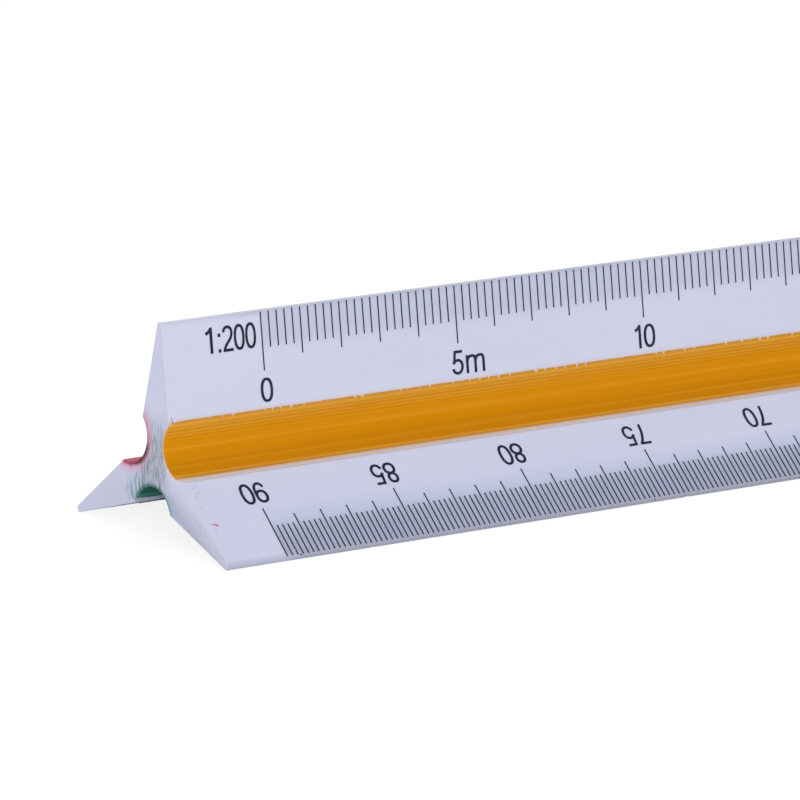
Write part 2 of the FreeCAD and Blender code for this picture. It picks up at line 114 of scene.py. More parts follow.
def surf(s, lift=0.0, ridged=True):
    """Point on one side's surface and its outward normal. s is the arc length
    from the first lip's start on the +q bevel: negative is on that bevel."""
    if s < 0.0:
        n = HA["o"]
        p = HA["lip_c"] + GROOVE_LIP_R * n + HA["b"] * s
        return p + lift * n, n
    if s < LIP_ARC:
        a = ang(HA["o"])
        d = (ang(HA["g"] - HA["lip_c"]) - a + math.pi) % (2 * math.pi) - math.pi
        a += d * s / LIP_ARC
        n = np.array((math.cos(a), math.sin(a)))
        return HA["lip_c"] + (GROOVE_LIP_R + lift) * n, n
    s -= LIP_ARC
    if s <= GROOVE_ARC:
        a = GROOVE_A0 + s / GROOVE_R
        n = -np.array((math.cos(a), math.sin(a)))
        k = ridge(s) if ridged else 0.0
        return HA["g"] - (GROOVE_R - lift - k) * n, n
    s -= GROOVE_ARC
    if s < LIP_ARC:
        a = ang(HB["g"] - HB["lip_c"])
        d = (ang(HB["o"]) - a + math.pi) % (2 * math.pi) - math.pi
        a += d * s / LIP_ARC
        n = np.array((math.cos(a), math.sin(a)))
        return HB["lip_c"] + (GROOVE_LIP_R + lift) * n, n
    s -= LIP_ARC
    n = HB["o"]
    return HB["lip_c"] + GROOVE_LIP_R * n - HB["b"] * s + lift * n, n


# --------------------------------------------------------------- mesh helpers
def new_mesh(name, verts, faces, mats, face_mat=None, smooth_angle=35.0, across=None, tint=None):
    """Mesh object from millimetre points, with what its material needs per point."""
    me = bpy.data.meshes.new(name)
    me.from_pydata([(x * MM, y * MM, z * MM) for x, y, z in verts], [], faces)
    for m in mats:
        me.materials.append(m)
    if face_mat is not None:
        me.polygons.foreach_set("material_index", face_mat)
    if across is not None:
        me.attributes.new("across", "FLOAT", "POINT").data.foreach_set("value", across)
    if tint is not None:
        me.attributes.new("tint", "FLOAT_COLOR", "POINT").data.foreach_set("color", np.ravel(tint))
    bm = bmesh.new()
    bm.from_mesh(me)
    bmesh.ops.recalc_face_normals(bm, faces=bm.faces)
    bm.to_mesh(me)
    bm.free()
    me.polygons.foreach_set("use_smooth", [True] * len(me.polygons))
    me.set_sharp_from_angle(angle=math.radians(smooth_angle))
    ob = bpy.data.objects.new(name, me)
    bpy.context.scene.collection.objects.link(ob)
    return ob


class Noise1:
    """Smooth repeatable noise along one axis, about -1 to 1."""

    def __init__(self, seed, lo, hi, step):
        r = np.random.RandomState(seed)
        self.lo, self.step = lo, step
        self.v = r.uniform(-1, 1, int((hi - lo) / step) + 4)

    def __call__(self, x):
        f = (x - self.lo) / self.step
        i = max(0, min(int(math.floor(f)), len(self.v) - 2))
        t = min(max(f - i, 0.0), 1.0)
        t = t * t * (3 - 2 * t)
        return self.v[i] * (1 - t) + self.v[i + 1] * t


# ------------------------------------------------------------------ materials
def srgb(r, g, b):
    f = lambda c: c / 12.92 if c <= 0.04045 else ((c + 0.055) / 1.055) ** 2.4
    return (f(r / 255.0), f(g / 255.0), f(b / 255.0), 1.0)


class Mat:
    """Small helper around a Principled material."""

    def __init__(self, name):
        self.m = bpy.data.materials.new(name)
        self.m.use_nodes = True
        self.t = self.m.node_tree
        self.t.nodes.clear()
        self.out = self.t.nodes.new("ShaderNodeOutputMaterial")
        self.b = self.t.nodes.new("ShaderNodeBsdfPrincipled")
        self.t.links.new(self.b.outputs[0], self.out.inputs[0])
        self.co = self.t.nodes.new("ShaderNodeTexCoord").outputs["Object"]
        self.mm = self.vmath("SCALE", self.co, scale=1000.0)

    def link(self, a, b):
        self.t.links.new(a, b)

    def val(self, sock, v):
        if hasattr(v, "is_output"):
            self.link(v, sock)
        else:
            sock.default_value = v

    def vmath(self, op, a, b=None, scale=None):
        n = self.t.nodes.new("ShaderNodeVectorMath")
        n.operation = op
        self.val(n.inputs[0], a)
        if b is not None:
            self.val(n.inputs[1], b)
        if scale is not None:
            n.inputs["Scale"].default_value = scale
        return n.outputs[0]

    def math(self, op, a, b=None, c=None, clamp=False):
        n = self.t.nodes.new("ShaderNodeMath")
        n.operation = op
        n.use_clamp = clamp
        self.val(n.inputs[0], a)
        if b is not None:
            self.val(n.inputs[1], b)
        if c is not None:
            self.val(n.inputs[2], c)
        return n.outputs[0]

    def sep(self, v):
        n = self.t.nodes.new("ShaderNodeSeparateXYZ")
        self.link(v, n.inputs[0])
        return n.outputs

    def comb(self, x, y, z):
        n = self.t.nodes.new("ShaderNodeCombineXYZ")
        for i, v in enumerate((x, y, z)):
            self.val(n.inputs[i], v)
        return n.outputs[0]

    def noise(self, vec, scale=1.0, detail=2.0, rough=0.5, distortion=0.0):
        n = self.t.nodes.new("ShaderNodeTexNoise")
        self.link(vec, n.inputs["Vector"])
        n.inputs["Scale"].default_value = scale
        n.inputs["Detail"].default_value = detail
        n.inputs["Roughness"].default_value = rough
        n.inputs["Distortion"].default_value = distortion
        return n.outputs["Fac"]

    def stretch(self, sx, sy, sz):
        return self.vmath("MULTIPLY", self.mm, (sx, sy, sz))

    def ramp(self, fac, stops, interp="LINEAR"):
        n = self.t.nodes.new("ShaderNodeValToRGB")
        n.color_ramp.interpolation = interp
        el = n.color_ramp.elements
        while len(el) > 1:
            el.remove(el[-1])
        for i, (p, c) in enumerate(stops):
            e = el[0] if i == 0 else el.new(p)
            e.position = p
            e.color = c if len(c) == 4 else (*c, 1.0)
        self.link(fac, n.inputs[0])
        return n.outputs[0]

    def rng(self, v, a, b, c=0.0, d=1.0, smooth=True):
        n = self.t.nodes.new("ShaderNodeMapRange")
        n.interpolation_type = "SMOOTHSTEP" if smooth else "LINEAR"
        self.link(v, n.inputs["Value"])
        for k, x in (("From Min", a), ("From Max", b), ("To Min", c), ("To Max", d)):
            n.inputs[k].default_value = x
        return n.outputs["Result"]

    def mix(self, fac, a, b, mode="MIX"):
        n = self.t.nodes.new("ShaderNodeMix")
        n.data_type = "RGBA"
        n.blend_type = mode
        self.val(n.inputs[0], fac)
        self.val(n.inputs[6], a)
        self.val(n.inputs[7], b)
        return n.outputs[2]

    def bump(self, height, strength, distance, normal=None):
        n = self.t.nodes.new("ShaderNodeBump")
        n.inputs["Strength"].default_value = strength
        n.inputs["Distance"].default_value = distance
        self.link(height, n.inputs["Height"])
        if normal is not None:
            self.link(normal, n.inputs["Normal"])
        return n.outputs[0]

    def attr(self, name, socket="Fac"):
        n = self.t.nodes.new("ShaderNodeAttribute")
        n.attribute_name = name
        return n.outputs[socket]

    def voronoi(self, vec, out="Distance", scale=1.0):
        n = self.t.nodes.new("ShaderNodeTexVoronoi")
        self.link(vec, n.inputs["Vector"])
        n.inputs["Scale"].default_value = scale
        return n.outputs[out]

    def finish(self, color, rough, normal=None, specular=0.5, coat=0.0, coat_rough=0.2):
        self.val(self.b.inputs["Base Color"], color)
        self.val(self.b.inputs["Roughness"], rough)
        self.b.inputs["Specular IOR Level"].default_value = specular
        if coat:
            self.b.inputs["Coat Weight"].default_value = coat
            self.b.inputs["Coat Roughness"].default_value = coat_rough
        if normal is not None:
            self.link(normal, self.b.inputs["Normal"])
        return self.m


BODY_A = (0.588, 0.606, 0.764, 1.0)
BODY_B = (0.564, 0.584, 0.748, 1.0)


def body_material():
    m = Mat("white_plastic")
    cloud = m.noise(m.stretch(0.03, 0.12, 0.12), 1.0, 3.0, 0.55)
    col = m.mix(m.rng(cloud, 0.35, 0.65), BODY_A, BODY_B)
    # faint dust and handling marks, drawn out along the ruler
    marks = m.noise(m.stretch(0.35, 1.6, 1.6), 1.0, 5.0, 0.62)
    col = m.mix(m.rng(marks, 0.60, 0.80, 0.0, 0.12), col, srgb(172, 172, 190))
    speck = m.noise(m.stretch(3.2, 3.2, 3.2), 1.0, 1.0, 0.4)
    col = m.mix(m.rng(speck, 0.765, 0.80, 0.0, 0.22), col, srgb(150, 148, 160))
    # per-point tint: paint stain beside the grooves, with painted shade and painted light: greyed between the ticks,
    # darker lands at the arms' tips, a darker upper front bevel, a darker strip in the underside groove, and lighter
    # strips by the lower lips
    col = m.mix(1.0, col, m.attr("tint", "Color"), "MULTIPLY")
    # lengthwise lines from drawing, and a fine moulded grain
    lines = m.noise(m.stretch(0.015, 5.0, 5.0), 1.0, 3.0, 0.6)
    grain = m.noise(m.stretch(9.0, 9.0, 9.0), 1.0, 2.0, 0.5)
    n = m.bump(lines, 0.16, 0.00005)
    n = m.bump(grain, 0.10, 0.00003, n)
    rough = m.rng(m.noise(m.stretch(0.06, 2.2, 2.2), 1.0, 3.0, 0.6), 0.3, 0.7, 0.36, 0.50)
    return m.finish(col, rough, n, specular=0.40)


def groove_gap(m, side):
    """Distance outside a groove's wall on the end face, in millimetres."""
    x, y, z = m.sep(m.mm)
    gy, gz = yz(HA["g"], SIDES[side])
    dy, dz = m.math("SUBTRACT", y, gy), m.math("SUBTRACT", z, gz)
    r = m.math("SQRT", m.math("ADD", m.math("MULTIPLY", dy, dy), m.math("MULTIPLY", dz, dz)))
    return m.math("SUBTRACT", r, GROOVE_R)


def sawn_material():
    """The sawn ends: drag marks up the cut, with paint dragged out of the grooves, and painted shade and light over the
    lower part and the front arm.
    """
    m = Mat("sawn_end")
    x, y, z = m.sep(m.mm)
    mul = lambda *a: m.math("MULTIPLY", a[0], a[1]) if len(a) == 2 else mul(m.math("MULTIPLY", a[0], a[1]), *a[2:])
    cloud = m.noise(m.stretch(0.3, 0.3, 0.3), 1.0, 3.0, 0.5)
    col = m.mix(m.rng(cloud, 0.3, 0.7), (0.566, 0.588, 0.742, 1.0), (0.540, 0.560, 0.716, 1.0))
    # the marks run up and down, wavy, strongest in the thick middle of the section
    warp = m.noise(m.stretch(0.0, 0.25, 0.20), 1.0, 2.0, 0.5)
    yw = m.math("ADD", y, mul(m.math("SUBTRACT", warp, 0.5), 2.2))
    soft = m.noise(m.comb(0.0, mul(yw, 2.6), mul(z, 0.40)), 1.0, 4.0, 0.62)
    fine = m.noise(m.comb(3.1, mul(yw, 8.0), mul(z, 0.75)), 1.0, 3.0, 0.6)
    dy = m.math("ABSOLUTE", m.math("ADD", y, -0.1))
    middle = mul(m.rng(dy, 1.2, 3.0, 1.0, 0.0), m.rng(z, 4.4, 5.6, 0.0, 1.0), m.rng(z, 9.4, 14.0, 1.0, 0.0))
    # painted shade: the end face a little darker towards the bottom
    col = m.mix(m.rng(z, 9.0, 4.5, 0.0, 0.13), col, srgb(150, 146, 170))
    # the drag marks, greyest in the thick middle of the section
    col = m.mix(mul(middle, 0.50), col, srgb(162, 164, 176))
    col = m.mix(mul(m.rng(soft, 0.48, 0.68, 0.0, 0.62), middle), col, srgb(132, 148, 156))
    # short separate strokes
    for k, (fy, fz, cut, tone) in enumerate(((4.8, 0.50, 0.44, (120, 134, 142)), (6.2, 0.44, 0.42, (126, 138, 158)),
                                             (7.6, 0.56, 0.42, (98, 114, 116)), (9.4, 0.46, 0.40, (86, 98, 110)))):
        v = m.comb(7.3 * k, mul(yw, fy), m.math("ADD", mul(z, fz), 3.7 * k))
        d = m.voronoi(v)
        keep = m.rng(m.noise(m.stretch(0.0, 0.55 + 0.2 * k, 0.35 + 0.1 * k), 1.0, 1.0, 0.4), 0.36, 0.50)
        col = m.mix(mul(m.rng(d, cut * 0.40, cut, 0.80, 0.0), keep, middle), col, srgb(*tone))
    # painted shade and light on the front arm: darker along its lower side, lighter towards its corner with the front
    # face
    side_on = m.math("ADD", mul(y, -0.5), mul(m.math("ADD", z, -AXIS_HEIGHT), 0.866))
    front_arm = m.rng(y, -1.4, -3.4, 0.0, 1.0)
    col = m.mix(mul(m.rng(side_on, 0.3, -1.5, 0.0, 0.42), front_arm), col, srgb(150, 150, 174))
    col = m.mix(mul(m.rng(side_on, 0.0, 1.3, 0.0, 0.75), front_arm), col, (0.600, 0.612, 0.775, 1.0))
    # green dragged up from the underside groove
    gg = groove_gap(m, "underside")
    rag = mul(m.math("SUBTRACT", fine, 0.5), 0.9)
    low = mul(m.rng(z, 3.0, 4.2, 0.0, 1.0), m.rng(z, 9.0, 6.6, 0.0, 1.0))
    left = m.rng(y, 0.4, 2.6, 0.25, 1.0)
    g2 = mul(m.rng(gg, 0.3, 2.6, 0.70, 0.0), m.rng(soft, 0.40, 0.62, 0.10, 1.0), left)
    col = m.mix(mul(g2, low), col, srgb(92, 140, 140))
    v = m.comb(1.7, mul(yw, 4.2), mul(z, 0.6))
    g3 = mul(m.rng(m.voronoi(v), 0.20, 0.40, 0.95, 0.0), m.rng(gg, 0.6, 3.0, 1.0, 0.0), left)
    col = m.mix(mul(g3, low), col, srgb(44, 92, 84))
    g1 = m.rng(m.math("SUBTRACT", gg, rag), 0.05, 0.50, 0.88, 0.0)
    col = m.mix(mul(g1, low), col, srgb(40, 88, 84))
    g4 = mul(m.rng(gg, 0.2, 1.0, 0.55, 0.0), m.rng(y, -1.6, -2.8, 0.0, 1.0))
    col = m.mix(g4, col, srgb(128, 172, 190))
    # red round the back groove, darkest low down and over the lip of the back arm
    rg = groove_gap(m, "back")
    blot = m.noise(m.stretch(0.0, 2.4, 1.5), 1.0, 4.0, 0.6)
    r_rag = mul(m.math("SUBTRACT", blot, 0.5), 0.5)
    rr = m.math("SUBTRACT", rg, r_rag)
    col = m.mix(m.rng(rr, 0.1, 1.5, 0.62, 0.0), col, srgb(208, 136, 168))
    lowr = m.rng(z, 9.6, 7.6, 0.35, 1.0)
    col = m.mix(mul(m.rng(rr, 0.05, 0.50, 0.95, 0.0), lowr), col, srgb(160, 44, 78))
    dark = mul(m.rng(rg, 0.10, 0.85, 0.92, 0.0), m.rng(z, 10.4, 9.4, 0.0, 1.0), m.rng(z, 7.0, 7.8, 0.0, 1.0),
               m.rng(blot, 0.24, 0.40))
    col = m.mix(dark, col, srgb(70, 24, 38))
    # a thread of yellow at the front groove
    yg = groove_gap(m, "front")
    col = m.mix(m.rng(m.math("SUBTRACT", yg, mul(rag, 0.35)), 0.0, 0.28, 0.45, 0.0), col, srgb(226, 186, 130))
    # brown-grey bruises along the lower edge of the front arm
    sp = m.noise(m.stretch(0.0, 2.4, 2.4), 1.0, 3.0, 0.6)
    arm = mul(m.rng(y, -3.5, -5.0, 0.0, 1.0), m.rng(z, 4.9, 4.0, 0.0, 1.0))
    col = m.mix(mul(m.rng(sp, 0.60, 0.68, 0.0, 0.7), arm), col, srgb(158, 134, 150))
    # grey scuffs on the arms
    sc = m.noise(m.comb(9.0, mul(y, 1.6), mul(z, 0.9)), 1.0, 4.0, 0.65)
    col = m.mix(m.rng(sc, 0.66, 0.76, 0.0, 0.45), col, srgb(140, 146, 170))
    hair = m.noise(m.comb(7.7, mul(yw, 14.0), mul(z, 0.6)), 1.0, 3.0, 0.6)
    n = m.bump(soft, 0.30, 0.00012)
    n = m.bump(hair, 0.35, 0.00006, n)
    return m.finish(col, m.rng(fine, 0.3, 0.7, 0.50, 0.68), n, specular=0.30)


def coat_material(name, mid, dark, light, edge, rough, far=0.0):
    """Paint in a groove, with painted light and shade across it: a painted highlight just inside both edges, lighter
    threads along the die's ridges from thinner paint with painted highlight, painted shade over its lower half, and a
    darker line along both edges, the paint heaped into a burr with a painted shadow of its step. The mesh carries how
    far across the groove a point is."""
    m = Mat(name)
    x, y, z = m.sep(m.mm)
    mul = lambda a, b: m.math("MULTIPLY", a, b)
    s = m.attr("across")
    u = m.math("DIVIDE", m.math("ADD", s, 0.4), 8.6)
    at = lambda stops: m.ramp(u, [((p + (far if p > 5.89 else 0.0) + 0.4) / 8.6, (v, v, v)) for p, v in stops])
    # painted highlight: lighter just inside the upper edge, fading over the upper third, and a light line just inside
    # the lower edge
    painted_highlight_k = at([(-0.02, 0.0), (0.12, 0.58), (0.30, 0.56), (0.60, 0.32), (1.1, 0.13), (1.9, 0.0), (2.5, 0.02),
                  (3.0, 0.07), (3.4, 0.0), (5.9, 0.02), (6.10, 0.12), (6.32, 0.48), (6.44, 0.45), (6.52, 0.0)])
    # painted shade over the lower half of the groove
    painted_shade_k = at([(1.0, 0.0), (3.2, 0.05), (3.5, 0.28), (4.2, 0.42), (4.68, 0.85), (5.0, 0.50), (5.9, 0.62), (6.2, 0.1)])
    # lighter threads along the die's ridges: thinner paint, with painted highlight
    thread = at([(0.64, 0.0), (0.80, 0.85), (0.94, 0.0), (1.16, 0.0), (1.30, 0.62), (1.44, 0.0), (1.58, 0.0),
                 (1.71, 0.40), (1.84, 0.0), (2.02, 0.0), (2.14, 0.20), (2.26, 0.0), (2.96, 0.0), (3.07, 0.16),
                 (3.18, 0.0), (4.95, 0.0), (5.08, 0.15), (5.2, 0.0), (5.75, 0.0), (5.83, 0.12), (5.9, 0.0)])
    # a darker line along both edges: the paint's burr, with a painted shadow of its step
    edge_k = at([(-0.04, 0.72), (0.07, 0.0), (6.44, 0.0), (6.54, 0.85), (6.9, 0.9)])
    vary = m.noise(m.comb(mul(x, 0.05), mul(s, 1.1), 3.0), 1.0, 3.0, 0.6)
    col = m.mix(painted_shade_k, mid, dark)
    col = m.mix(painted_highlight_k, col, light)
    col = m.mix(mul(thread, m.rng(vary, 0.25, 0.70, 0.45, 1.0)), col, light)
    hair = m.noise(m.comb(mul(x, 0.03), mul(s, 7.0), 2.0), 1.0, 3.0, 0.6)
    col = m.mix(m.rng(hair, 0.54, 0.72, 0.0, 0.18), col, light)
    col = m.mix(m.rng(hair, 0.46, 0.30, 0.0, 0.22), col, dark)
    col = m.mix(mul(edge_k, m.rng(m.noise(m.comb(mul(x, 1.3), 0.0, 1.0), 1.0, 2.0, 0.6), 0.3, 0.6, 0.55, 1.0)), col, edge)
    mott = m.noise(m.stretch(0.8, 2.0, 2.0), 1.0, 4.0, 0.6)
    col = m.mix(m.rng(mott, 0.60, 0.78, 0.0, 0.22), col, dark)
    n = m.bump(hair, 0.20, 0.00005)
    n = m.bump(m.noise(m.stretch(2.5, 6.0, 6.0), 1.0, 3.0, 0.6), 0.12, 0.00004, n)
    return m.finish(col, m.rng(vary, 0.3, 0.7, rough, rough + 0.12), n, specular=0.03)


def ink_material():
    m = Mat("scale_ink")
    blot = m.noise(m.stretch(2.0, 5.0, 5.0), 1.0, 4.0, 0.65)
    wear = m.noise(m.stretch(0.16, 0.5, 0.5), 1.0, 3.0, 0.6)
    col = m.mix(m.rng(blot, 0.35, 0.72), srgb(24, 26, 44), srgb(42, 46, 68))
    col = m.mix(m.rng(wear, 0.52, 0.74, 0.0, 0.22), col, srgb(84, 90, 122))
    n = m.bump(blot, 0.25, 0.00003)
    return m.finish(col, m.rng(blot, 0.3, 0.7, 0.50, 0.66), n, specular=0.12)


def fleck_material(name, a, b):
    m = Mat(name)
    blot = m.noise(m.stretch(4.0, 4.0, 4.0), 1.0, 3.0, 0.6)
    return m.finish(m.mix(m.rng(blot, 0.35, 0.65), srgb(*a), srgb(*b)), m.rng(blot, 0.3, 0.7, 0.5, 0.65), None, 0.15)


def floor_material(name, glow):
    m = Mat(name)
    g = m.noise(m.stretch(0.05, 0.05, 0.05), 1.0, 3.0, 0.5)
    k = 0.93 if not glow else 0.24
    col = m.mix(m.rng(g, 0.3, 0.7), (k * 0.99, k * 0.99, k, 1.0), (k, k, k, 1.0))
    m.finish(col, 0.9, None, specular=0.0)
    if glow:
        m.b.inputs["Emission Color"].default_value = (1.0, 1.0, 1.0, 1.0)
        m.b.inputs["Emission Strength"].default_value = glow
        m.m.cycles.emission_sampling = "NONE"
    return m.m


M_BODY = body_material()
M_SAWN = sawn_material()
M_YELLOW = coat_material("yellow_paint", srgb(204, 134, 3), srgb(189, 121, 1), srgb(230, 175, 72),
                         srgb(184, 136, 72), 0.46)
M_RED = coat_material("red_paint", srgb(176, 20, 42), srgb(146, 10, 28), srgb(204, 140, 160), srgb(184, 120, 142), 0.46)
M_GREEN = coat_material("green_paint", srgb(44, 106, 91), srgb(30, 86, 72), srgb(82, 146, 124), srgb(60, 104, 92), 0.46,
                        1.04)
M_INK = ink_material()


# ------------------------------------------------------------------- the bar
HALF = LENGTH / 2.0
CAP = 0.6                                  # depth of the sawn skin at each end
STAIN = {"front": (0.99, 0.64, 0.30), "back": (0.97, 0.45, 0.55), "underside": (0.45, 0.85, 0.72)}
STAIN_K = ((-0.95, 0.0), (-0.60, 0.05), (-0.40, 0.18), (-0.26, 0.42), (0.0, 0.6), (6.7, 0.90), (6.9, 0.52),
           (7.1, 0.20), (7.4, 0.07), (7.9, 0.02), (8.4, 0.0))
# the strip between the yellow paint and the lower lip: a yellow stain next to the paint, then painted light, lighter
# than the plastic's own colour, over the shaded groove wall and lip
LOW_STRIP = ((6.5, (1.08, 0.72, 0.36)), (6.7, (1.08, 0.72, 0.36)), (6.92, (1.17, 0.97, 0.66)), (7.16, (1.20, 1.20, 1.11)),
             (7.44, (1.27, 1.34, 1.22)), (7.88, (1.24, 1.32, 1.22)), (8.16, (1.10, 1.12, 1.08)), (8.3, (1.0, 1.0, 1.0)))
# the bare strip inside the underside groove's far lip: painted shade, darker and grey-green, then painted light, a
# little lighter than the plastic's own colour, just beyond it
UNDER_STRIP = ((7.4, (0.50, 0.64, 0.58)), (7.9, (0.56, 0.64, 0.59)), (8.1, (0.72, 0.78, 0.73)), (8.24, (1.15, 1.15, 1.12)),
               (8.6, (1.12, 1.12, 1.10)), (9.6, (1.0, 1.0, 1.0)))
# paint wrapped on to the very end of each groove
END_TONE = {"front": (0.95, 0.70, 0.36), "back": (0.74, 0.38, 0.48), "underside": (0.36, 0.60, 0.52)}
END_REACH = {"front": 6.6, "back": 6.7, "underside": 7.7}
# painted shade: the plastic greyed between the ticks, standing in for light lost under the ink in the translucent
# plastic, by distance in from a bevel's sharp corner: the fine 1:300 scale, and the coarser ones
TICK_SHADE_FINE = ((0.0, (0.61, 0.63, 0.68)), (2.0, (0.62, 0.64, 0.69)), (3.0, (0.67, 0.69, 0.71)), (3.6, (0.74, 0.76, 0.79)),
             (4.2, (0.86, 0.87, 0.92)), (4.6, (0.90, 0.91, 0.96)), (6.4, (1.0, 1.0, 1.0)))
TICK_SHADE_OPEN = ((0.0, (0.86, 0.87, 0.89)), (2.0, (0.86, 0.87, 0.88)), (3.0, (0.88, 0.88, 0.89)), (3.6, (0.92, 0.92, 0.92)),
             (4.2, (0.985, 0.985, 0.98)), (4.6, (1.0, 1.0, 1.0)), (6.4, (1.0, 1.0, 1.0)))
SPAN = {1: (-147.55, 152.45), -1: (-152.45, 147.55)}    # where the ticks run on the two bevels of a side


def table(rows, v):
    return [float(np.interp(v, [r[0] for r in rows], [r[1][c] for r in rows])) for c in range(3)]


def section():
    """The outline clockwise from the upright arm: points, outward normals, which arm's edge a point is on, and the tint
    at it: paint stain, with painted shade and painted light in places."""
    flat_s = [0.12, 0.26, 0.34, 0.45, 0.6, 0.8, 1.1, 1.8, 2.8, 3.87] + [T_LIP - t for t in (5.4, 4.6, 4.2, 3.6, 3.0, 2.0,
                                                                                           0.6)]
    last = T_LIP - 0.13
    total = 2 * LIP_ARC + GROOVE_ARC
    pts, norms, arms, tints, tick_shade, bevel, rim = [], [], [], [], [], [], []
    for k, (name, a) in enumerate(SIDES.items()):
        one = []
        for q in range(6):                 # land corner of the +q arm
            f = ang(HA["e"]) + ((ang(HA["o"]) - ang(HA["e"]) + math.pi) % (2 * math.pi) - math.pi) * q / 5.0
            n = np.array((math.cos(f), math.sin(f)))
            one.append((HA["tip_c"] + LAND_CORNER_R * n, n, k, -99.0))
        for v in reversed(flat_s):
            if v < last:
                q, n = surf(-v, 0.0)
                one.append((q, n, -1, -v))
        count = 100
        lo, hi = -0.04, total + 0.04
        for c in range(count + 1):
            v = lo + (hi - lo) * c / count
            q, n = surf(v, 0.0)
            one.append((q, n, -1, v))
        for v in flat_s:
            if v < last:
                q, n = surf(total + v, 0.0)
                one.append((q, n, -1, total + v))
        for q in range(6):
            f = ang(HB["o"]) + ((ang(HB["e"]) - ang(HB["o"]) + math.pi) % (2 * math.pi) - math.pi) * q / 5.0
            n = np.array((math.cos(f), math.sin(f)))
            one.append((HB["tip_c"] + LAND_CORNER_R * n, n, (k + 1) % 3, -99.0))
        for q, n, arm, v in one:
            pts.append(turn(q, a))
            norms.append(turn(n, a))
            arms.append(arm)
            f = float(np.interp(v, [t[0] for t in STAIN_K], [t[1] for t in STAIN_K])) if v > -50 else 0.0
            tone = [1.0 - f * (1.0 - c) for c in STAIN[name]]
            if name == "front" and v > 6.5:
                tone = table(LOW_STRIP, v)
            if name == "underside" and v > 7.4:
                tone = table(UNDER_STRIP, v)
            # painted shade: the upper front bevel a little darker and less blue
            if name == "front" and -50 < v < 0.0:
                tone = [a * b for a, b in zip(tone, (0.980, 0.978, 0.957))]
            tints.append(tone + [1.0])
            t = T_LIP + v if -50 < v < 0.0 else (T_LIP - (v - total) if v > total else 99.0)
            tick_shade.append(table(TICK_SHADE_FINE if name == "front" and v > total else TICK_SHADE_OPEN, t))
            bevel.append(0 if t > 50 else (1 if v < 0.0 else -1))
            rim.append(END_TONE[name] if -0.15 < v < END_REACH[name] else (1.0, 1.0, 1.0))
    return tuple(np.array(v) for v in (pts, norms, arms, tints, tick_shade, bevel, rim))


RING, NORMALS, ARMS, TINTS, TICK_SHADE, BEVEL, RIM = section()
TICK_SHADE_VARY = Noise1(90, -HALF, HALF, 7.0)
STEP = lambda v, a, b: min(max((v - a) / (b - a), 0.0), 1.0)


def tints_at(x):
    """The section's tints at station x."""
    t = TINTS.copy()
    # painted shade between the ticks along each bevel's scale
    for sign in (1, -1):
        lo, hi = SPAN[sign]
        w = STEP(x, lo - 0.25, lo + 0.15) * STEP(x, hi + 0.25, hi - 0.15) * (1.0 + 0.05 * TICK_SHADE_VARY(x))
        w *= 0.93 + 0.10 * STEP(x, lo, lo + 45.0)
        sel = BEVEL == sign
        t[sel, :3] *= 1.0 - w * (1.0 - TICK_SHADE[sel])
    # painted shade: the lands at the arms' tips darker, most away from the ends
    for arm, near, far in ((0, 0.90, 0.76), (1, 0.80, 0.60), (2, 0.90, 0.74)):
        w = STEP(x, -152.8, -150.0) * (0.86 + 0.14 * STEP(x, -150.0, -110.0)) * STEP(x, 152.8, 150.0)
        t[ARMS == arm, :3] *= near + (far - near) * w
    gap = min(x + HALF, HALF - x)
    t[:, :3] *= 1.0 - 0.015 * math.exp(-gap / 1.6)
    if gap < 0.06:
        t[:, :3] *= RIM
    return t


WOBBLE = [Noise1(100 + k, -HALF, HALF, 23.0) for k in range(3)]
_r = random.Random(7)
NICKS = [(a, _r.uniform(-HALF + 12, HALF - 6), _r.uniform(0.12, 0.30), _r.uniform(0.03, 0.08))
         for a in range(3) for _ in range(6)]
# two small nicks in the front edge near the left end
NICKS += [(1, -HALF + 60.0, 0.35, 0.09), (1, -HALF + 18.4, 0.22, 0.05)]


def sweep(name, xs, rim=None, sawn=()):
    """The section carried along xs as a closed solid. rim is a sawn end's x."""
    n = len(RING)
    verts, tints = [], []
    for x in xs:
        q = RING.copy()
        if rim is not None and abs(x - rim) < 1e-6:
            q -= NORMALS * 0.018           # the saw's burr is wiped off
        for a in range(3):
            sel = ARMS == a
            q[sel] -= NORMALS[sel] * (0.005 + 0.005 * WOBBLE[a](x))
        for a, c, w, d in NICKS:
            if abs(x - c) < 1.6 * w:
                sel = ARMS == a
                centre = q[sel].mean(0)
                q[sel] -= centre / np.linalg.norm(centre) * d * (1 - abs(x - c) / (1.6 * w)) ** 1.3
        verts += [(x, -u, v + AXIS_HEIGHT) for u, v in q]
        tints.append(tints_at(x))
    faces, fm = [], []
    for j in range(len(xs) - 1):
        for i in range(n):
            k = (i + 1) % n
            faces.append((j * n + i, j * n + k, (j + 1) * n + k, (j + 1) * n + i))
            fm.append(0)
    faces.append(tuple(range(n)))
    fm.append(1 if "lo" in sawn else 0)
    faces.append(tuple((len(xs) - 1) * n + i for i in reversed(range(n))))
    fm.append(1 if "hi" in sawn else 0)
    ob = new_mesh(name, verts, faces, [M_BODY, M_SAWN], fm, 30.0, tint=np.concatenate(tints))
    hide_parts("ruler_body")
    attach(ob, "root")
    return ob


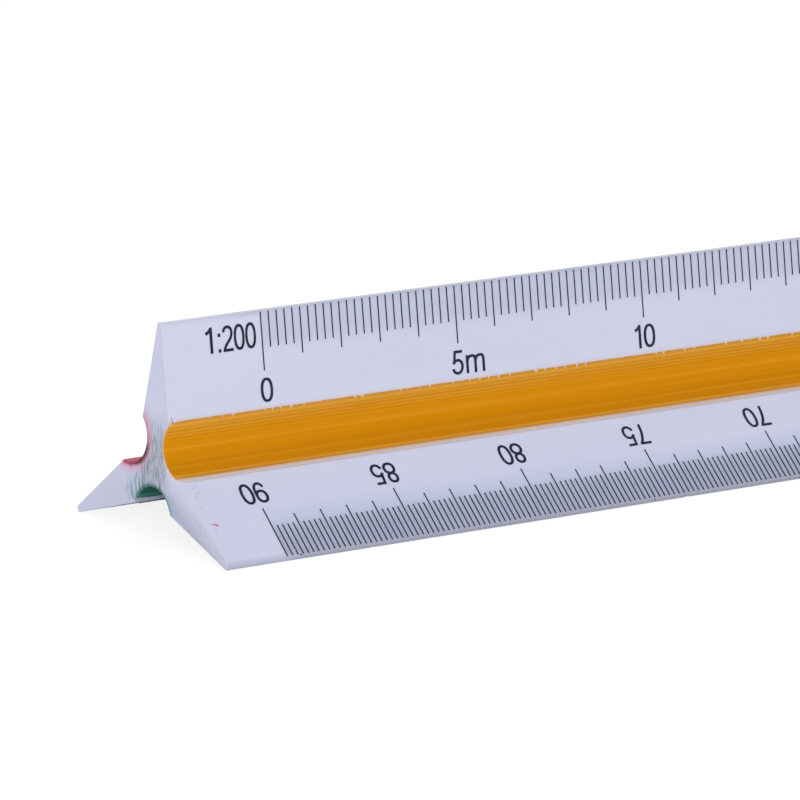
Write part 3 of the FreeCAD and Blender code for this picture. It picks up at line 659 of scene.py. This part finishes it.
stations = list(np.arange(-HALF + CAP, HALF - CAP - 0.5, 5.3)) + [HALF - CAP]
stations += [d * (HALF - g) for g in (1.2, 2.0, 3.2) for d in (1, -1)]
stations += [e + d * 0.01 for a, b in SPAN.values() for e in (a, b) for d in (-25, 0, 15)] + [-150.0, 150.0]
for a, c, w, d in NICKS:
    stations += [c - 1.6 * w, c - 0.7 * w, c, c + 0.7 * w, c + 1.6 * w]
sweep("ruler_bar", sorted(set(round(float(v), 4) for v in stations)))
sweep("sawn_end_left", [-HALF, -HALF + 0.025, -HALF + 0.2, -HALF + CAP], -HALF, ("lo",))
sweep("sawn_end_right", [HALF - CAP, HALF - 0.2, HALF - 0.025, HALF], HALF, ("hi",))


# ------------------------------------------------------------------ the coats
# bare breaks in the upper line of paint: middle and width. Those of the front
# groove near the left end first, then scattered ones.
FRONT_BREAKS = [(5.1, .16), (6.7, .22), (8.0, .42), (12.1, .18), (13.0, .22), (14.0, .20), (15.4, .40), (16.05, .14),
                (17.0, .20), (19.1, .14), (23.6, .30), (24.5, .46), (29.5, .20), (30.4, .16), (32.0, .20),
                (33.3, .28), (36.4, .18), (37.7, .13), (38.6, .22), (39.9, .28), (41.1, .28), (42.4, .26),
                (43.9, .24), (47.4, .46), (48.6, .32), (50.1, .24), (51.3, .28), (52.9, .28)]


def coat(name, side, seed, mat):
    """Paint laid in a groove: thin on the ridges, its upper line broken by
    bare dashes, its lower line running just inside the lip."""
    over = 0.235
    a = SIDES[side]
    r = random.Random(seed)
    edge = Noise1(seed + 1, -HALF, HALF, 0.45)
    edge2 = Noise1(seed + 2, -HALF, HALF, 3.1)
    low = Noise1(seed + 3, -HALF, HALF, 1.3)
    low2 = Noise1(seed + 6, -HALF, HALF, 9.0)
    thick = Noise1(seed + 4, -HALF, HALF, 5.0)
    breaks = [(c - HALF, w, r.uniform(0.19, 0.30)) for c, w in FRONT_BREAKS] if side == "front" else []
    x = (breaks[-1][0] if breaks else -HALF + 3.0) + 1.2
    while x < HALF - 3.0:
        breaks.append((x, r.uniform(0.13, 0.46), r.uniform(0.17, 0.30)))
        x += breaks[-1][1] + (r.uniform(0.5, 1.6) if r.random() < 0.55 else r.uniform(1.6, 5.5))

    def start(x):
        """Upper line, drawn in a little at the ends of the front groove."""
        e = -over + 0.018 * edge(x) + 0.014 * edge2(x)
        if side == "front":
            e += 0.50 * math.exp(-(x + HALF) / 0.5) * (1.0 + 0.2 * edge(x)) + 0.30 * math.exp(-(HALF - x) / 0.4)
        return e

    def upper(x):
        e = start(x)
        for c, w, d in breaks:
            if abs(x - c) < w / 2.0:
                return e + d * min(1.0, (w / 2.0 - abs(x - c)) / 0.055)
        return e

    def lower(x):
        e = 6.67 + 0.12 * math.exp(-(x + HALF) / 11.0) - 0.22 * math.exp(-(x + HALF) / 1.2)
        if side == "underside":
            e += 1.04                      # this groove is painted almost to its far lip
        return e + 0.016 * low(x) + 0.025 * low2(x)

    xs = list(np.arange(-HALF + 0.05, HALF - 0.05, 0.56)) + [HALF - 0.05, -HALF + 0.12, HALF - 0.12]
    xs += [-HALF + 0.3 * k for k in range(1, 9)]
    for c, w, d in breaks:
        xs += [c - w / 2.0, c - w / 2.0 + 0.055, c + w / 2.0 - 0.055, c + w / 2.0]
    xs = sorted(set(round(float(v), 3) for v in xs))
    ss = [0.0, 0.010, 0.024, 0.045, 0.07, 0.10, 0.125, 0.15, 0.175, 0.20, 0.225, 0.25, 0.275, 0.30, 0.33, 0.36, 0.39,
          0.43, 0.455, 0.48, 0.54, 0.60, 0.66, 0.71, 0.76, 0.81, 0.86, 0.90, 0.94, 0.975, 0.99, 1.0]
    nx, ns = len(xs), len(ss)
    verts, faces, across = [], [], []
    for top in (1, 0):
        for x in xs:
            a0, a1 = upper(x), lower(x)
            end = min(1.0, min(x - xs[0], xs[-1] - x) / 0.10 + 0.2)
            for f in ss:
                v = a0 + (a1 - a0) * f
                d = min(v - a0, a1 - v)
                if top:
                    k = min(1.0, d / 0.10) * end
                    lift = min(0.006 + 0.050 * math.sqrt(max(k, 0.0)) * (1.0 + 0.10 * thick(x)), 0.095)
                else:
                    lift = -0.02
                p, n = surf(v, lift)
                verts.append((x, *yz(p, a)))
                across.append(v)
    off = nx * ns
    for j in range(nx - 1):
        for i in range(ns - 1):
            v = j * ns + i
            faces.append((v, v + 1, v + ns + 1, v + ns))
            faces.append((off + v, off + v + ns, off + v + ns + 1, off + v + 1))
        for v in (j * ns, j * ns + ns - 1):
            faces.append((v, v + ns, off + v + ns, off + v))
    for i in range(ns - 1):
        for v in (i, (nx - 1) * ns + i):
            faces.append((v, off + v, off + v + 1, v + 1))
    return new_mesh(name, verts, faces, [mat], None, 50.0, across=across)


for node, piece, side, seed, mat, slot in (
        ("yellow_groove_coat", "yellow_paint_coat", "front", 300, M_YELLOW, "yellow_paint"),
        ("red_groove_coat", "red_paint_coat", "back", 400, M_RED, "red_paint"),
        ("green_groove_coat", "green_paint_coat", "underside", 500, M_GREEN, "green_paint")):
    ob = coat(piece, side, seed, mat)
    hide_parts(node)
    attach(ob, "root")

# ----------------------------------------------------------- the printed scales
for name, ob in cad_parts.items():
    if name.endswith("_print"):
        ob.data.materials.clear()
        ob.data.materials.append(M_INK)

# ------------------------------------- ticks carried faintly over the front edge
def edge_ticks(name, mat):
    """Short worn ends of the 1:300 ticks on the flat of the front edge."""
    r = random.Random(31)
    e, n = HB["e"], HB["n"]
    verts, faces = [], []
    for k in range(451):
        x = 147.55 - k * 2.0 / 3.0
        if x < -128.0 or r.random() < 0.06:
            continue
        q1 = LAND_HALF_WIDTH - 0.06
        q0 = q1 - r.uniform(0.22, 0.40)
        w, x1 = r.uniform(0.045, 0.065), x + r.uniform(0.05, 0.11)
        base = len(verts)
        for up in (-0.030, 0.004):
            for q, c, h in ((q1, x, w), (0.5 * (q0 + q1), 0.5 * (x + x1), w), (q0, x1, 0.6 * w)):
                drop = 0.045 * max(0.0, (abs(q) - 0.16) / 0.12)
                for d in (-h, h):
                    verts.append((c + d, *yz((TIP_RADIUS + up - 0.006 - drop) * e + q * n, SIDES["front"])))
        b = base
        for i in (0, 2):
            faces += [(b + i, b + i + 1, b + i + 3, b + i + 2), (b + 6 + i, b + 8 + i, b + 9 + i, b + 7 + i),
                      (b + i, b + i + 2, b + i + 8, b + i + 6), (b + i + 1, b + i + 7, b + i + 9, b + i + 3)]
        faces += [(b, b + 6, b + 7, b + 1), (b + 4, b + 5, b + 11, b + 10)]
    ob = new_mesh(name, verts, faces, [mat], None, 40.0)
    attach(ob, "root")


edge_ticks("edge_tick_marks", fleck_material("worn_ink", (66, 70, 96), (104, 106, 134)))


# ------------------------------------------------------- flecks of stray paint
def on_face(side, plus, x, t, lift):
    """A point on a bevelled face, t in from the bevel's sharp corner."""
    h = HA if plus else HB
    return (x, *yz(h["corner"] + h["b"] * t + h["o"] * lift, SIDES[side]))


def flecks(name, mat, spots, rise=0.0):
    """Low irregular domes of dried paint. A spot is (how to place a point, x, t,
    half length along x, half height, slant)."""
    verts, faces = [], []
    for k, (place, x, t, rx, rt, slant) in enumerate(spots):
        r = random.Random("%s%d" % (name, k))
        m = 14
        base = len(verts)
        phase = [r.uniform(0, 6.283) for _ in range(3)]
        for lift, shrink in ((-0.02, 1.0), (0.006, 1.0), (0.020, 0.72), (0.026, 0.35)):
            for i in range(m):
                w = 2 * math.pi * i / m
                g = shrink * (1.0 + 0.22 * math.sin(2 * w + phase[0]) + 0.14 * math.sin(3 * w + phase[1])
                              + 0.10 * math.sin(5 * w + phase[2]))
                dx, dt = rx * g * math.cos(w), rt * g * math.sin(w)
                verts.append(place(x + dx + slant * dt, t + dt, lift + (rise if lift > 0.0 else 0.0)))
        for l in range(3):
            for i in range(m):
                j = (i + 1) % m
                a0, b0 = base + l * m, base + (l + 1) * m
                faces.append((a0 + i, a0 + j, b0 + j, b0 + i))
        faces.append(tuple(base + i for i in reversed(range(m))))
        faces.append(tuple(base + 3 * m + i for i in range(m)))
    ob = new_mesh(name, verts, faces, [mat], None, 60.0)
    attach(ob, "root")
    return ob


FRONT_LOW = lambda x, t, lift: on_face("front", False, x, t, lift)
FRONT_UP = lambda x, t, lift: on_face("front", True, x, t, lift)
IN_FRONT = lambda x, t, lift: (x, *yz(surf(t, lift + 0.05)[0], SIDES["front"]))
BACK_LOW = lambda x, t, lift: on_face("back", True, x, t, lift)
UNDER_BACK = lambda x, t, lift: on_face("underside", False, x, t, lift)
L = -HALF
M_PINK = fleck_material("stray_red_paint", (166, 84, 112), (200, 136, 162))
M_FAINT = fleck_material("wiped_red_paint", (206, 168, 192), (196, 180, 206))
flecks("faint_paint_flecks", M_FAINT, [
    (FRONT_LOW, L + 0.50, 8.55, 0.14, 0.12, 0.5), (FRONT_LOW, L + 0.85, 8.95, 0.20, 0.10, -0.4),
    (FRONT_LOW, L + 0.60, 9.55, 0.12, 0.09, 0.0), (FRONT_LOW, L + 1.05, 9.75, 0.10, 0.09, 0.0),
    (FRONT_LOW, L + 1.15, 9.25, 0.09, 0.07, 0.0), (FRONT_LOW, L + 0.40, 7.2, 0.10, 0.07, 0.0),
    (FRONT_LOW, L + 0.55, 6.3, 0.08, 0.09, 0.0), (FRONT_LOW, L + 0.45, 3.4, 0.09, 0.07, 0.0),
    (FRONT_LOW, L + 0.60, 2.1, 0.12, 0.06, 0.3), (FRONT_LOW, L + 8.60, 0.70, 0.16, 0.12, 0.0),
    (FRONT_LOW, L + 25.1, 0.45, 0.14, 0.10, 0.0), (FRONT_LOW, L + 3.4, 5.0, 0.07, 0.06, 0.0),
    (FRONT_LOW, L + 1.04, 4.98, 0.38, 0.20, 0.0), (FRONT_LOW, L + 9.10, 0.34, 0.18, 0.10, 0.0)])
M_DARK = fleck_material("stray_dark_paint", (48, 66, 50), (92, 104, 88))
M_MAROON = fleck_material("stray_maroon_paint", (70, 24, 42), (104, 48, 68))
flecks("maroon_paint_flecks", M_MAROON, [
    (FRONT_LOW, L + 9.12, 0.08, 0.11, 0.08, 0.0), (FRONT_LOW, L + 1.05, 4.97, 0.11, 0.065, 0.0)], 0.016)
flecks("red_paint_flecks", M_PINK, [
    (FRONT_LOW, L + 1.04, 4.98, 0.24, 0.12, -0.2), (FRONT_LOW, L + 0.66, 5.12, 0.10, 0.07, 0.0),
    (FRONT_LOW, L + 1.32, 4.86, 0.07, 0.05, 0.0), (FRONT_LOW, L + 0.80, 4.45, 0.05, 0.04, 0.0),
    (FRONT_LOW, L + 8.75, 0.34, 0.05, 0.04, 0.0),
    (FRONT_LOW, L + 11.2, 0.12, 0.09, 0.04, 0.0), (FRONT_LOW, L + 27.4, 0.16, 0.12, 0.04, 0.0),
    (BACK_LOW, L + 2.2, 7.7, 0.22, 0.07, 0.6), (BACK_LOW, L + 41.0, 5.2, 0.10, 0.06, 0.0),
    (BACK_LOW, HALF - 3.1, 8.8, 0.20, 0.08, -0.5), (FRONT_LOW, HALF - 1.2, 6.4, 0.14, 0.06, 0.4)], 0.008)
flecks("dark_paint_flecks", M_DARK, [
    (FRONT_UP, L + 0.48, 10.12, 0.045, 0.24, 0.10), (FRONT_UP, L + 0.40, 9.72, 0.03, 0.17, 0.15),
    (IN_FRONT, L + 0.42, 5.55, 0.12, 0.05, 0.0), (IN_FRONT, L + 0.62, 5.85, 0.16, 0.045, 0.0),
    (IN_FRONT, L + 0.30, 5.15, 0.09, 0.05, 0.0), (IN_FRONT, L + 0.55, 0.75, 0.05, 0.05, 0.0),
    (IN_FRONT, L + 0.45, 1.05, 0.05, 0.06, 0.0),
    (UNDER_BACK, L + 1.4, 6.1, 0.15, 0.06, 0.2), (UNDER_BACK, HALF - 2.4, 7.0, 0.12, 0.07, 0.0)])

# ------------------------------------------------------------ floor and light
def sheet(name, z, mat):
    me = bpy.data.meshes.new(name)
    r = 6.0
    me.from_pydata([(-r, -r, z), (r, -r, z), (r, r, z), (-r, r, z)], [], [(0, 1, 2, 3)])
    me.materials.append(mat)
    ob = bpy.data.objects.new(name, me)
    bpy.context.scene.collection.objects.link(ob)
    return ob


# the floor that is seen is bright white with a faint shadow; the one that
# throws light back up at the ruler is an ordinary pale one
seen = sheet("floor", 0.0, floor_material("bright_floor", 0.84))
seen.visible_diffuse = False
seen.visible_glossy = False
seen.visible_transmission = False
seen.visible_shadow = False
bounce = sheet("floor_bounce", -0.0002, floor_material("pale_floor", 0.0))
bounce.visible_camera = False

scene = bpy.context.scene
scene.view_settings.view_transform = "Standard"
scene.view_settings.look = "None"
scene.view_settings.exposure = 0.0
scene.view_settings.gamma = 1.0

world = bpy.data.worlds.new("studio")
scene.world = world
world.use_nodes = True
bg = world.node_tree.nodes["Background"]
bg.inputs[0].default_value = (1.0, 1.0, 1.0, 1.0)
bg.inputs[1].default_value = 0.70


def area(name, loc, target, size, power, color=(1, 1, 1)):
    d = bpy.data.lights.new(name, "AREA")
    d.shape = "RECTANGLE"
    d.size, d.size_y = size
    d.energy = power
    d.color = color
    o = bpy.data.objects.new(name, d)
    o.location = loc
    o.rotation_euler = (Vector(target) - Vector(loc)).to_track_quat("-Z", "Y").to_euler()
    scene.collection.objects.link(o)
    return o


area("key", (-1.5, -1.75, 0.55), (-0.1, 0.0, 0.01), (1.4, 1.0), 27.0)
area("fill", (1.4, 1.9, 1.1), (0.0, 0.0, 0.01), (1.6, 1.2), 12.0)

# ---------------------------------------------------------------------- camera
cam = bpy.data.cameras.new("camera")
cam.sensor_fit = "HORIZONTAL"
cam.sensor_width = 36.0
cam.lens = 7130.19 / 800.0 * 36.0
cam.clip_start = 0.02
cam.clip_end = 50.0
camera = bpy.data.objects.new("camera", cam)
C = Vector((-412.2946 - LENGTH / 2.0, -562.9938, 182.5352 + AXIS_HEIGHT)) * MM
right = Vector((0.791443, -0.609708, 0.043287))
up = Vector((0.114936, 0.218002, 0.969157))
back = Vector((-0.600340, -0.762057, 0.242613))
camera.matrix_world = Matrix(((right.x, up.x, back.x, C.x), (right.y, up.y, back.y, C.y),
                              (right.z, up.z, back.z, C.z), (0, 0, 0, 1)))
scene.collection.objects.link(camera)
scene.camera = camera
